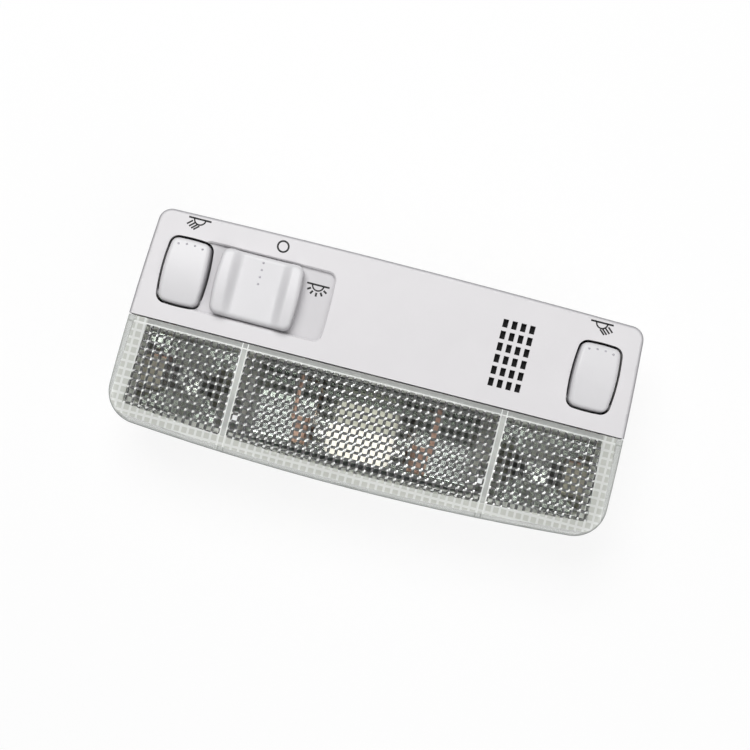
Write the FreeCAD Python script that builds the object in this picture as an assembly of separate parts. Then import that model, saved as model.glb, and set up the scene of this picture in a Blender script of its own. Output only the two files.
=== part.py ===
import FreeCAD, Part
import math
import os

# Car interior reading light: a switch panel above a clear prismatic lens, both clipped to a
# white housing that holds a festoon dome lamp between two wedge-base reading lamps.
# Millimetres. The origin is on the rear plane, under the middle of the plan. +X runs along the
# lamp, +Y from the lens towards the switch panel, and +Z out of the lit face.

V = FreeCAD.Vector

# Plan of the whole lamp
LENGTH = 204.6  # across the lower corners, before they are rounded
TOP_LENGTH = 199.6  # across the upper corners
WIDTH = 92.0  # on the centre line, bows included
SIDE_BOW = 0.9
TOP_BOW = 1.1
BOTTOM_BOW = 4.7
TOP_CORNER_R = 5.5
BOTTOM_CORNER_R = 13.5
SEAM_Y = 0.0  # joint between panel and lens
SEAM_GAP = 0.5
RIM_R = 1.5  # rounding of the outer front edge

# Heights
FACE_Z = 40.0  # front face of the panel above the rear plane
SKIRT_DEPTH = 11.0  # panel face down to the rim that meets the roof lining
LENS_SINK = 0.6  # lens face below panel face
FLANGE_DROP = 4.6  # housing flange below panel face
COMPARTMENT_Z = 12.0  # underside of the switch compartment

# Wall thicknesses and general clearances
PANEL_T = 2.2
SKIRT_T = 2.0
HOUSING_T = 2.0
FLANGE_T = 2.4
LENS_T = 1.6  # clear plate in front of the prisms
BOARD_T = 1.6
REFLECTOR_T = 1.0
STRIP_T = 0.5
MIN_CORNER_R = 0.3  # smallest corner left when a plan is drawn in
SLIGHT_BOW = 0.05  # for sides that look straight
FIT_GAP = 0.3  # loose moulded fit
RUN_GAP = 0.08  # running fit on a pivot

# Lens optics and catches
PRISM_PITCH = 3.12
PRISM_H = 0.8
GROOVE_W = 1.2
PRISM_BORDER = 1.4  # smooth band between the lens wall and the first prism
LENS_LEDGE = 1.2  # how far the lens wall steps in above the flange
STRIP_W = 2.8  # smooth strip of lens in front of each divider
CATCH_X = 73.5  # outer catches, from the centre line
CATCH_W = 9.6
TAB_REACH = 2.6
TAB_T = 1.5
HOOK_REACH = 1.2
HOOK_H = 1.2
LIP_T = 1.7
LIP_DROP = 5.6  # lens face to the foot of its upper lip

# Housing
BODY_INSET = 6.4  # plan edge to the housing's outer wall
FLANGE_GAP = 0.4
DIVIDER_X = 53.4
DIVIDER_T = 2.4
TOWER_W = 10.4
TOWER_T = 1.2
TOWER_L = 14.7  # tower above the lamp box's lower wall, on the plan
SCREW_SEAT_Z = 6.0
MOUNT_SCREW_UP = 6.7  # screw above that wall
MOUNT_HOLE_R = 2.3
CROSS_WALL_Y = -1.5  # panel side of the wall behind the seam
TONGUE_X = 62.0
TONGUE_W = 12.0
TONGUE_L = 6.5
TONGUE_T = 2.6
RIB_T = 1.6
RIB_SHIFT = 4.6  # rib outside the middle of its tongue

# Reading lamp buttons, one at each end
BUTTON_MARGIN = 16.8  # side of the plan to a button's centre line
BUTTON_Y = 21.2
BUTTON_W = 18.2
BUTTON_H = 27.2
BUTTON_PROUD = 3.2  # crown above the panel face
BUTTON_DEPTH = 7.0  # skirt below the panel face
BUTTON_DRAFT = 0.6
BUTTON_SIDE_BOW = 1.0
BUTTON_END_BOW = 0.5
BUTTON_CORNER_R = 3.4
BUTTON_CROWN_R = 52.0
BUTTON_EDGE_R = 1.7
BUTTON_T = 1.6
BUTTON_GAP = 0.65
PIVOT_R = 1.25
PIVOT_DOWN = 10.2  # pivot below the middle of the button, on the plan
PIVOT_DROP = 4.9  # pivot axis below the panel face
PIVOT_STUB = 2.8
LUG_T = 2.0
LUG_H = 2.9  # half width of a pivot lug
PUSH_UP = 4.8  # pusher above the middle of the button, on the plan
PUSH_W = 5.0
PUSH_R = 1.5

# Push switches under the buttons
SWITCH_W = 9.0
SWITCH_H = 8.0
PLUNGER_W = 4.0
PLUNGER_GAP = 0.2
PLUNGER_OUT = 3.4
PLUNGER_IN = 3.6
PRESS_TRAVEL = 1.4
PRESS_ANGLE = 5.0  # a button's swing, in degrees

# Dome lamp slider and its recess
SLIDER_PITCH = 29.9  # left button to slider at rest
SLIDER_Y = 21.5
SLIDER_W = 34.4
SLIDER_H = 27.0
SLIDER_SIDE_BOW = 0.9
SLIDER_CORNER_R = 2.2
SLIDER_RIDGE = 5.6  # ridge tops above the panel face
SLIDER_VALLEY = 2.4  # finger valley above the panel face
SLIDER_RIDGE_W = 8.0
SLIDER_RIDGE_R = 2.6
SLIDER_TRIM = 0.4  # how far the section runs past the plan that trims it
SLIDER_CROWN_R = 60.0
SLIDER_T = 2.0
SLIDER_TRAVEL = 11.0
RECESS_DEPTH = 1.8
RECESS_FLOOR_T = 2.2
RECESS_END_GAP = 1.2
RECESS_SIDE_GAP = 0.5
RECESS_CORNER_R = 3.0
RECESS_EASE = 0.6  # slope around the recess at the panel face
RECESS_BOW = 0.4
STEM_W = 6.0
STEM_H = 5.2
CARRIAGE_W = 24.0
CARRIAGE_H = 18.0
CARRIAGE_T = 2.6
WIPER_W = 6.0
WIPER_SPAN = 12.0
DOME_SWITCH_H = 7.6
DOME_SWITCH_DEPTH = 12.0

# Microphone grille and what sits behind it
GRILLE_X = 50.4
GRILLE_Y = 21.3
GRILLE_COLUMNS = 4
GRILLE_ROWS = 6
GRILLE_PITCH_X = 3.66
GRILLE_PITCH_Y = 4.8
GRILLE_HOLE_W = 2.15
GRILLE_HOLE_H = 3.35
GRILLE_WALL_T = 1.2
GRILLE_WALL_H = 11.0
GRILLE_MARGIN = 1.2
FOAM_T = 2.4
MIC_R = 4.8
MIC_H = 6.5
BOOT_H = 8.0
BOOT_L = 18.0

# Circuit board and its fixings
BOARD_Z = 18.0
BOARD_GAP = 1.5  # board edge to the compartment wall
BOARD_SEAM_GAP = 3.7  # board edge to the wall behind the seam
POST_R = 3.0
BOARD_SCREW_LEFT = 22.0
BOARD_SCREW_RIGHT = 32.0
BOARD_FIX_EDGE = 5.0  # screws and posts in from the board's long edges
BOARD_POST_END = 18.5  # posts in from the board's short edges
BOARD_SCREW_R = 1.25
BOARD_HEAD_R = 2.4
BOARD_HEAD_H = 1.6
BOSS_R = 3.0
BOSS_LOW_X = 60.0
BOSS_HIGH_X = 30.0
BOSS_WALL_GAP = 2.6  # lower bosses to the wall behind the seam
BOSS_SCREW_R = 1.4
BOSS_SCREW_L = 12.0
BOSS_HEAD_R = 2.8
BOSS_HEAD_H = 1.8

# Rear connector
PLUG_X = 6.0
PLUG_Y = 19.0
PLUG_W = 31.0
PLUG_H = 15.0
PLUG_T = 1.6
PLUG_DEPTH = 12.0
PIN_ROWS = 2
PIN_COLUMNS = 6
PIN_PITCH_X = 4.0
PIN_PITCH_Y = 4.6
PIN_W = 0.8
PIN_TIP_Z = 6.0

# Dome lamp: festoon bulb, contacts and trough reflector
DOME_TO_WALL = 8.6  # bulb axis to the lamp box's lower wall
DOME_Z = 19.0
DOME_GLASS_R = 6.8
DOME_GLASS_L = 27.0
DOME_NECK_R = 4.0
DOME_NECK_L = 3.6
GLASS_T = 0.6
DOME_CAP_R = 4.25
DOME_CAP_L = 5.6
DOME_CONE_L = 2.2
DOME_CONE_R = 1.1
DOME_COIL_R = 0.55
DOME_COIL_L = 13.0
LEAD_R = 0.2
CONTACT_W = 11.0
CONTACT_FOOT = 8.0
CONTACT_RISE = 5.0  # leaf above the bulb's axis
CONTACT_HOLE_R = 1.5
TROUGH_GAP = 0.5
TROUGH_RIM_DROP = 3.0
TROUGH_FLOOR_W = 10.0

# Reading lamps: wedge bulbs, sockets, strips and bowls
READ_TO_WALL = 16.5  # bulb axis to the wall behind the seam
READ_Z = 17.0
READ_BASE_GAP = 1.2
WEDGE_L = 8.6
WEDGE_W = 9.4
WEDGE_T = 2.5
READ_GLASS_R = 5.1
READ_GLASS_L = 18.0
READ_COIL_R = 0.5
READ_LEAD_SPREAD = 2.2
READ_LEAD_L = 8.4
SOCKET_L = 8.4
SOCKET_W = 13.0
SOCKET_TOP = 5.0  # socket above the bulb's axis
STRIP_X_PITCH = 3.6
STRIP_WIDTH = 2.4
LEAF_L = 3.2
WALL_SLOT_Z = 15.0
BOWL_FOCUS = 7.5
BOWL_R = 30.0
BOWL_FOOT_R = 4.0
BOWL_GAP = 0.5

FAR = 300.0  # beyond every part, for half spaces


def box(x0, x1, y0, y1, z0, z1):
    return Part.makeBox(x1 - x0, y1 - y0, z1 - z0, V(x0, y0, z0))


def post(radius, x, y, z0, z1):
    return Part.makeCylinder(radius, z1 - z0, V(x, y, z0))


def rod_x(radius, x0, x1, y, z):
    return Part.makeCylinder(radius, x1 - x0, V(x0, y, z), V(1, 0, 0))


def crown(radius, y, top):
    """Cylinder along X whose unbroken upper side crowns a knob, its crest at a height."""
    roller = rod_x(radius, -FAR, FAR, y, top - radius)
    roller.rotate(V(0, y, top - radius), V(1, 0, 0), 180)
    return roller


def fuse(shapes):
    return shapes[0].multiFuse(shapes[1:]).removeSplitter()


def above(y):
    return box(-FAR, FAR, y, FAR, -FAR, FAR)


def below(y):
    return box(-FAR, FAR, -FAR, y, -FAR, FAR)


def spread(count, pitch):
    """Places of count things at a pitch, centred on zero."""
    return [(i - (count - 1) / 2) * pitch for i in range(count)]


def side_circle(start, end, bow):
    """Centre and radius of the arc that bows a side outwards, to the right of its direction."""
    chord = end - start
    radius = (chord.Length ** 2 / 4 + bow ** 2) / (2 * bow)
    out = V(chord.y, -chord.x, 0).normalize()
    return (start + end) * 0.5 - out * (radius - bow), radius


def meeting_point(centre0, radius0, centre1, radius1, near):
    """Crossing of two circles that lies nearest a point."""
    apart = centre1 - centre0
    span = apart.Length
    along = (radius0 ** 2 - radius1 ** 2 + span ** 2) / (2 * span)
    across = math.sqrt(radius0 ** 2 - along ** 2)
    unit = apart / span
    foot = centre0 + unit * along
    found = [foot + V(-unit.y, unit.x, 0) * way * across for way in (-1, 1)]
    return min(found, key=lambda p: (p - near).Length)


def bowed_face(corners, bows, radii, draw_in):
    """Plan face of four bowed sides with rounded corners, anticlockwise, drawn in all round."""
    ends = [V(*c) for c in corners]
    sides = [side_circle(ends[i], ends[(i + 1) % 4], bows[i]) for i in range(4)]
    sides = [(centre, radius - draw_in) for centre, radius in sides]
    rounds = []
    for i in range(4):
        r = max(radii[i] - draw_in, MIN_CORNER_R)
        (c0, r0), (c1, r1) = sides[i - 1], sides[i]
        centre = meeting_point(c0, r0 - r, c1, r1 - r, ends[i])
        entry = c0 + (centre - c0).normalize() * r0
        leave = c1 + (centre - c1).normalize() * r1
        rounds.append((entry, leave, centre, r))
    edges = []
    for i in range(4):
        entry, leave, centre, r = rounds[i]
        edges.append(arc_about(centre, r, entry, leave))
        edges.append(arc_about(sides[i][0], sides[i][1], leave, rounds[(i + 1) % 4][0]))
    return Part.Face(Part.Wire(edges))


def arc_about(centre, radius, start, end):
    way = (start - centre + end - centre).normalize()
    return Part.Arc(start, centre + way * radius, end).toShape()


def prism(face, z0, z1):
    raised = face.copy()
    raised.translate(V(0, 0, z0))
    return raised.extrude(V(0, 0, z1 - z0))


def loft(face0, z0, face1, z1):
    """Solid with straight drafted sides between two like plans."""
    wires = []
    for face, z in ((face0, z0), (face1, z1)):
        wire = face.OuterWire.copy()
        wire.translate(V(0, 0, z))
        wires.append(wire)
    return Part.makeLoft(wires, True, True)


def centred_plan(x, y, width, height, end_bow, side_bow, radius, draw_in):
    x0, x1 = x - width / 2 + side_bow, x + width / 2 - side_bow
    y0, y1 = y - height / 2 + end_bow, y + height / 2 - end_bow
    corners = ((x0, y0), (x1, y0), (x1, y1), (x0, y1))
    return bowed_face(corners, (end_bow, side_bow, end_bow, side_bow), (radius,) * 4, draw_in)


def plan_corners():
    """Corners of the lamp's plan before they are rounded, anticlockwise from the lower left."""
    half, top_half = LENGTH / 2, TOP_LENGTH / 2
    low, high = -WIDTH / 2 + BOTTOM_BOW, WIDTH / 2 - TOP_BOW
    return V(-half, low), V(half, low), V(top_half, high), V(-top_half, high)


def outline(draw_in):
    """Plan of the whole lamp, drawn in by a distance."""
    radii = (BOTTOM_CORNER_R, BOTTOM_CORNER_R, TOP_CORNER_R, TOP_CORNER_R)
    return bowed_face(plan_corners(), (BOTTOM_BOW, SIDE_BOW, TOP_BOW, SIDE_BOW), radii, draw_in)


def half_length_at(y, draw_in):
    """Centre line to the side of the drawn-in plan, at a height on it."""
    corners = plan_corners()
    centre, radius = side_circle(corners[1], corners[2], SIDE_BOW)
    return centre.x + math.sqrt((radius - draw_in) ** 2 - (y - centre.y) ** 2)


def low_at(x, draw_in):
    """Lower edge of the drawn-in plan, at a place along it."""
    corners = plan_corners()
    centre, radius = side_circle(corners[0], corners[1], BOTTOM_BOW)
    return centre.y - math.sqrt((radius - draw_in) ** 2 - (x - centre.x) ** 2)


def high_at(x, draw_in):
    """Upper edge of the drawn-in plan, at a place along it."""
    corners = plan_corners()
    centre, radius = side_circle(corners[2], corners[3], TOP_BOW)
    return centre.y + math.sqrt((radius - draw_in) ** 2 - (x - centre.x) ** 2)


# Values worked out from those above
SKIRT_Z = FACE_Z - SKIRT_DEPTH
PANEL_UNDER_Z = FACE_Z - PANEL_T
LENS_Z = FACE_Z - LENS_SINK
PRISM_BASE_Z = LENS_Z - LENS_T
PRISM_TIP_Z = PRISM_BASE_Z - PRISM_H
FLANGE_TOP = FACE_Z - FLANGE_DROP
FLANGE_Z = FLANGE_TOP - FLANGE_T
LIP_Z = LENS_Z - LIP_DROP
CROSS_TOP_Z = LIP_Z - FIT_GAP
COVER_LIP_Z = LIP_Z + FIT_GAP + TAB_T + FIT_GAP
BOARD_TOP = BOARD_Z + BOARD_T
CHAMBER_INSET = BODY_INSET + HOUSING_T
CHAMBER_Y = CROSS_WALL_Y - HOUSING_T  # lamp side of the wall behind the seam
COMPARTMENT_FLOOR = COMPARTMENT_Z + HOUSING_T
RECESS_Z = FACE_Z - RECESS_DEPTH
RECESS_UNDER_Z = RECESS_Z - RECESS_FLOOR_T
PIVOT_Z = FACE_Z - PIVOT_DROP
SWITCH_TOP = BOARD_TOP + SWITCH_H
PLUNGER_TOP = SWITCH_TOP + PLUNGER_OUT
CARRIAGE_TOP = RECESS_UNDER_Z - FIT_GAP
CARRIAGE_Z = CARRIAGE_TOP - CARRIAGE_T
DOME_SWITCH_TOP = BOARD_TOP + DOME_SWITCH_H
DOME_CAP_END = DOME_GLASS_L / 2 + DOME_CAP_L
BUTTON_X = half_length_at(BUTTON_Y, 0) - BUTTON_MARGIN
PIVOT_Y = BUTTON_Y - PIVOT_DOWN
PUSH_Y = BUTTON_Y + PUSH_UP
SLIDER_X = SLIDER_PITCH - BUTTON_X
TOWER_LOW_Y = low_at(DIVIDER_X, CHAMBER_INSET)
TOWER_TOP_Y = TOWER_LOW_Y + TOWER_L
MOUNT_SCREW_Y = TOWER_LOW_Y + MOUNT_SCREW_UP
TROUGH_HALF = DIVIDER_X - TOWER_W / 2 - TROUGH_GAP
DOME_Y = low_at(TROUGH_HALF, CHAMBER_INSET) + DOME_TO_WALL
READ_Y = CHAMBER_Y - READ_TO_WALL
BOWL_X = (DIVIDER_X + half_length_at(READ_Y, CHAMBER_INSET)) / 2
BOARD_Y0 = CROSS_WALL_Y + BOARD_SEAM_GAP
BOARD_Y1 = WIDTH / 2 - TOP_BOW - CHAMBER_INSET - BOARD_GAP
BOARD_HALF_LENGTH = half_length_at(BOARD_Y1, CHAMBER_INSET) - BOARD_GAP
BOARD_SCREWS = ((-BOARD_SCREW_LEFT, BOARD_Y1 - BOARD_FIX_EDGE),
                (BOARD_SCREW_RIGHT, BOARD_Y0 + BOARD_FIX_EDGE))
BOARD_POSTS = tuple((way * (BOARD_HALF_LENGTH - BOARD_POST_END), BOARD_Y0 + BOARD_FIX_EDGE)
                    for way in (-1, 1))
BOSS_LOW_Y = CROSS_WALL_Y + BOSS_WALL_GAP + BOSS_R
BOSS_HIGH_Y = high_at(BOSS_HIGH_X + BOSS_R, CHAMBER_INSET) - BOSS_R - FIT_GAP
BOSS_SCREWS = tuple((way * BOSS_LOW_X, BOSS_LOW_Y) for way in (-1, 1)) + tuple(
    (way * BOSS_HIGH_X, BOSS_HIGH_Y) for way in (-1, 1))


def inside(distance, z0, z1):
    """Prism of the lamp's plan drawn in by a distance."""
    return prism(outline(distance), z0, z1)


def rounded_blank(top):
    """Full plan from the rim to a front face, with the front edge rounded."""
    blank = inside(0, SKIRT_Z, top)
    front = [e for e in blank.Edges if e.BoundBox.ZMin > top - 1e-6]
    return blank.makeFillet(RIM_R, front)


def strip_solid(path, thickness, width):
    """Bent sheet strip: a centre line of (across, up) points, thickened both ways, width deep."""
    def side(sign):
        moved = []
        for i, point in enumerate(path):
            p = V(point[0], point[1], 0)
            ways = []
            if i > 0:
                ways.append((p - V(*path[i - 1], 0)).normalize())
            if i < len(path) - 1:
                ways.append((V(*path[i + 1], 0) - p).normalize())
            normals = [V(-w.y, w.x, 0) for w in ways]
            normal = normals[0] if len(normals) == 1 else (normals[0] + normals[1]).normalize()
            reach = thickness / 2 / normal.dot(normals[0])
            moved.append(p + normal * (sign * reach))
        return moved
    ring = side(1) + side(-1)[::-1]
    face = Part.Face(Part.makePolygon(ring + ring[:1]))
    return face.extrude(V(0, 0, width))


def stand_yz(shape, x):
    """Turns a strip drawn in (across, up) so that across runs along Y and its width along X."""
    shape.transformShape(FreeCAD.Matrix(0, 0, 1, x, 1, 0, 0, 0, 0, 1, 0, 0, 0, 0, 0, 1))
    return shape


def stand_xz(shape, y):
    """Turns a strip drawn in (across, up) so that across runs along X and its width along -Y."""
    shape.transformShape(FreeCAD.Matrix(1, 0, 0, 0, 0, 0, -1, y, 0, 1, 0, 0, 0, 0, 0, 1))
    return shape


# Front cover

def button_plan(side, draw_in):
    return centred_plan(side * BUTTON_X, BUTTON_Y, BUTTON_W, BUTTON_H,
                        BUTTON_END_BOW, BUTTON_SIDE_BOW, BUTTON_CORNER_R, draw_in)


def button_half_width(y):
    """Half width of a button's skirt at a height on its plan, from the bow of its sides."""
    share = (y - BUTTON_Y) / (BUTTON_H / 2)
    return BUTTON_W / 2 - BUTTON_SIDE_BOW * share ** 2


def pivot_reach():
    """Button centre to the tip of a pivot stub."""
    return button_half_width(PIVOT_Y) + BUTTON_GAP + PIVOT_STUB


def lug_span(side, way):
    """Inner and outer face of one pivot lug, along X."""
    start = button_half_width(PIVOT_Y) + BUTTON_GAP + FIT_GAP
    return sorted((side * BUTTON_X + way * start, side * BUTTON_X + way * (start + LUG_T)))


def pivot_lugs(side):
    """Two bearings under the panel for a button's stubs."""
    foot = PIVOT_Z - LUG_H
    spans = [lug_span(side, way) for way in (-1, 1)]
    return [box(x0, x1, PIVOT_Y - LUG_H, PIVOT_Y + LUG_H, foot, PANEL_UNDER_Z) for x0, x1 in spans]


def pivot_bores(side):
    """Bore of each bearing, with the mouth through which a stub snaps in from the rear."""
    made = []
    for way in (-1, 1):
        reach = side * BUTTON_X + way * (pivot_reach() + FIT_GAP)
        x0, x1 = sorted((side * BUTTON_X + way * button_half_width(PIVOT_Y), reach))
        made.append(rod_x(PIVOT_R + RUN_GAP, x0, x1, PIVOT_Y, PIVOT_Z))
        made.append(box(x0, x1, PIVOT_Y - 0.8 * PIVOT_R, PIVOT_Y + 0.8 * PIVOT_R,
                        PIVOT_Z - LUG_H - 1, PIVOT_Z))
    return made


def recess_span():
    """Ends of the slider's recess along X: it runs into the left button's opening."""
    right = SLIDER_X + SLIDER_W / 2 + SLIDER_TRAVEL + RECESS_END_GAP
    return -BUTTON_X + BUTTON_W / 4, right


def recess_plan(draw_in):
    x0, x1 = recess_span()
    return centred_plan((x0 + x1) / 2, SLIDER_Y, x1 - x0, SLIDER_H + 2 * RECESS_SIDE_GAP,
                        SLIGHT_BOW, RECESS_BOW, RECESS_CORNER_R, draw_in)


def grille_holes():
    z0, z1 = PANEL_UNDER_Z - 1, FACE_Z + 1
    return [box(GRILLE_X + x - GRILLE_HOLE_W / 2, GRILLE_X + x + GRILLE_HOLE_W / 2,
                GRILLE_Y + y - GRILLE_HOLE_H / 2, GRILLE_Y + y + GRILLE_HOLE_H / 2, z0, z1)
            for x in spread(GRILLE_COLUMNS, GRILLE_PITCH_X)
            for y in spread(GRILLE_ROWS, GRILLE_PITCH_Y)]


def grille_half():
    """Half sizes of the box behind the grille, inside its walls."""
    half_x = ((GRILLE_COLUMNS - 1) * GRILLE_PITCH_X + GRILLE_HOLE_W) / 2 + GRILLE_MARGIN
    half_y = ((GRILLE_ROWS - 1) * GRILLE_PITCH_Y + GRILLE_HOLE_H) / 2 + GRILLE_MARGIN
    return half_x, half_y


def grille_box(grow, z0, z1):
    half_x, half_y = grille_half()
    return box(GRILLE_X - half_x - grow, GRILLE_X + half_x + grow,
               GRILLE_Y - half_y - grow, GRILLE_Y + half_y + grow, z0, z1)


def front_cover():
    shell = rounded_blank(FACE_Z).common(above(SEAM_Y + SEAM_GAP / 2))
    lip_back = SEAM_Y + SEAM_GAP / 2 + LIP_T
    hollow = inside(SKIRT_T, SKIRT_Z - 1, PANEL_UNDER_Z).common(above(lip_back))
    under_lip = inside(SKIRT_T, SKIRT_Z - 1, COVER_LIP_Z)
    shell = shell.cut([hollow, under_lip])

    pad = prism(recess_plan(-SKIRT_T), RECESS_UNDER_Z, PANEL_UNDER_Z)
    frame_foot = PANEL_UNDER_Z - GRILLE_WALL_H
    frame = grille_box(GRILLE_WALL_T, frame_foot, PANEL_UNDER_Z).cut(
        grille_box(0, frame_foot, PANEL_UNDER_Z))
    bosses = [post(BOSS_R, x, y, COMPARTMENT_FLOOR, PANEL_UNDER_Z) for x, y in BOSS_SCREWS]
    shell = fuse([shell, pad, frame] + bosses + pivot_lugs(-1) + pivot_lugs(1))

    cuts = [prism(recess_plan(0), RECESS_Z, FACE_Z + 1),
            loft(recess_plan(0), FACE_Z - RECESS_EASE, recess_plan(-2 * RECESS_EASE), FACE_Z + RECESS_EASE)]
    cuts += [prism(button_plan(side, -BUTTON_GAP), RECESS_UNDER_Z - 1, FACE_Z + 1)
             for side in (-1, 1)]
    slot_end = SLIDER_TRAVEL + STEM_W / 2 + FIT_GAP
    cuts.append(box(SLIDER_X - STEM_W / 2 - FIT_GAP, SLIDER_X + slot_end,
                    SLIDER_Y - STEM_H / 2 - FIT_GAP, SLIDER_Y + STEM_H / 2 + FIT_GAP,
                    RECESS_UNDER_Z - 1, FACE_Z))
    cuts += grille_holes() + pivot_bores(-1) + pivot_bores(1)
    cuts += [post(BOSS_SCREW_R, x, y, COMPARTMENT_FLOOR - 1, COMPARTMENT_Z + BOSS_SCREW_L + FIT_GAP)
             for x, y in BOSS_SCREWS]
    return shell.cut(cuts)


# Lens

def groove(start, end):
    """One V groove between two plan points, from the prism tips up to the plate."""
    over = 0.25  # share of the groove's height that runs on below the tips
    half = GROOVE_W / 2 * (1 + over)
    foot = PRISM_TIP_Z - PRISM_H * over
    along = end - start
    across = V(-along.y, along.x, 0).normalize() * half
    ring = [start - across + V(0, 0, foot), start + across + V(0, 0, foot), start + V(0, 0, PRISM_BASE_Z)]
    return Part.Face(Part.makePolygon(ring + ring[:1])).extrude(along)


def lines_between(start, end, at_start, at_end):
    """Groove places that fill a span evenly, with or without one on each end."""
    cells = max(1, round((end - start) / PRISM_PITCH))
    first, last = (0 if at_start else 1), (cells if at_end else cells - 1)
    return [start + (end - start) * i / cells for i in range(first, last + 1)]


def groove_families():
    """Grooves along Y and along X over three fields, parted by smooth strips before the dividers."""
    edge = SKIRT_T + LENS_LEDGE + PRISM_BORDER
    field = outline(edge)
    top = SEAM_Y - SEAM_GAP / 2 - LIP_T - PRISM_BORDER / 2
    low, side = field.BoundBox.YMin, field.BoundBox.XMax
    inner, outer = DIVIDER_X - STRIP_W / 2, DIVIDER_X + STRIP_W / 2
    spans = ((-side, -outer, False, True), (-inner, inner, True, True), (outer, side, True, False))
    upright, level = [], []
    for x in [x for span in spans for x in lines_between(*span)]:
        reach = field.common(Part.makeLine(V(x, -FAR, 0), V(x, FAR, 0))).BoundBox
        upright.append(groove(V(x, reach.YMin, 0), V(x, top, 0)))
    for y in lines_between(low, top, False, False):
        reach = field.common(Part.makeLine(V(-FAR, y, 0), V(FAR, y, 0))).BoundBox
        for x0, x1 in ((reach.XMin, -outer), (-inner, inner), (outer, reach.XMax)):
            level.append(groove(V(x0, y, 0), V(x1, y, 0)))
    return upright, level


def lens_catches():
    """Tabs that slip under the panel's lip, and hooks that grip the housing flange."""
    made = []
    lip_back = SEAM_Y - SEAM_GAP / 2 - LIP_T
    ring = inside(SKIRT_T / 2, FLANGE_Z - FIT_GAP - HOOK_H, FLANGE_Z - FIT_GAP).cut(
        inside(SKIRT_T + HOOK_REACH, SKIRT_Z, FLANGE_Z))
    for x in (-CATCH_X, 0, CATCH_X):
        made.append(box(x - CATCH_W / 2, x + CATCH_W / 2, lip_back, SEAM_Y + TAB_REACH,
                        LIP_Z + FIT_GAP, LIP_Z + FIT_GAP + TAB_T))
        made.append(ring.common(box(x - CATCH_W / 2, x + CATCH_W / 2, -FAR, SEAM_Y - WIDTH / 4,
                                    -FAR, FAR)))
    return made


def lens():
    shell = rounded_blank(LENS_Z).common(below(SEAM_Y - SEAM_GAP / 2))
    lip_back = SEAM_Y - SEAM_GAP / 2 - LIP_T
    ledge_z = FLANGE_TOP + FIT_GAP
    hollow = inside(SKIRT_T, SKIRT_Z - 1, ledge_z).common(below(lip_back))
    upper = inside(SKIRT_T + LENS_LEDGE, ledge_z, PRISM_TIP_Z).common(below(lip_back))
    under_lip = inside(SKIRT_T, SKIRT_Z - 1, LIP_Z)
    shell = fuse([shell.cut([hollow, upper, under_lip])] + lens_catches())
    for family in groove_families():
        shell = shell.cut(family)
    return shell


# Rear housing

def tower_box(side, draw_in, z0, z1):
    """Screw tower beside a divider, running down into the lower wall."""
    x = side * DIVIDER_X
    half = TOWER_W / 2 - draw_in
    return box(x - half, x + half, -FAR, TOWER_TOP_Y - draw_in, z0, z1).common(
        inside(CHAMBER_INSET - HOUSING_T / 2 + draw_in, z0, z1))


def tongue(side):
    """Flat tongue that hooks behind the roof frame at the panel edge."""
    x = side * TONGUE_X
    wall = WIDTH / 2 - BODY_INSET - HOUSING_T
    top = SKIRT_Z - FIT_GAP
    blade = box(x - TONGUE_W / 2, x + TONGUE_W / 2, wall, wall + HOUSING_T + TONGUE_L,
                top - TONGUE_T, top)
    nose = [e for e in blade.Edges if e.BoundBox.ZLength > TONGUE_T - 0.1 and e.BoundBox.YMin > wall + 1]
    return blade.makeFillet(TONGUE_T, nose).common(inside(SKIRT_T, 0, FACE_Z))


def rear_ribs():
    """Stiffening ribs under the switch compartment, from the deep lamp box towards the tongues."""
    back = WIDTH / 2 - BODY_INSET - TOP_BOW - HOUSING_T
    foot = COMPARTMENT_Z / 2
    made = []
    for way in (-1, 1):
        x = way * (TONGUE_X + RIB_SHIFT) - RIB_T / 2
        ring = [V(x, CROSS_WALL_Y, foot), V(x, CROSS_WALL_Y, COMPARTMENT_Z), V(x, back, COMPARTMENT_Z)]
        made.append(Part.Face(Part.makePolygon(ring + ring[:1])).extrude(V(RIB_T, 0, 0)))
    return made


def strip_slots():
    """Windows in the wall behind the seam for the lamps' feed strips."""
    made = []
    for x in strip_places():
        made.append(box(x - STRIP_WIDTH / 2 - FIT_GAP, x + STRIP_WIDTH / 2 + FIT_GAP,
                        CHAMBER_Y - 1, CROSS_WALL_Y + 1, WALL_SLOT_Z - STRIP_T, WALL_SLOT_Z + STRIP_T))
    return made


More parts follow.
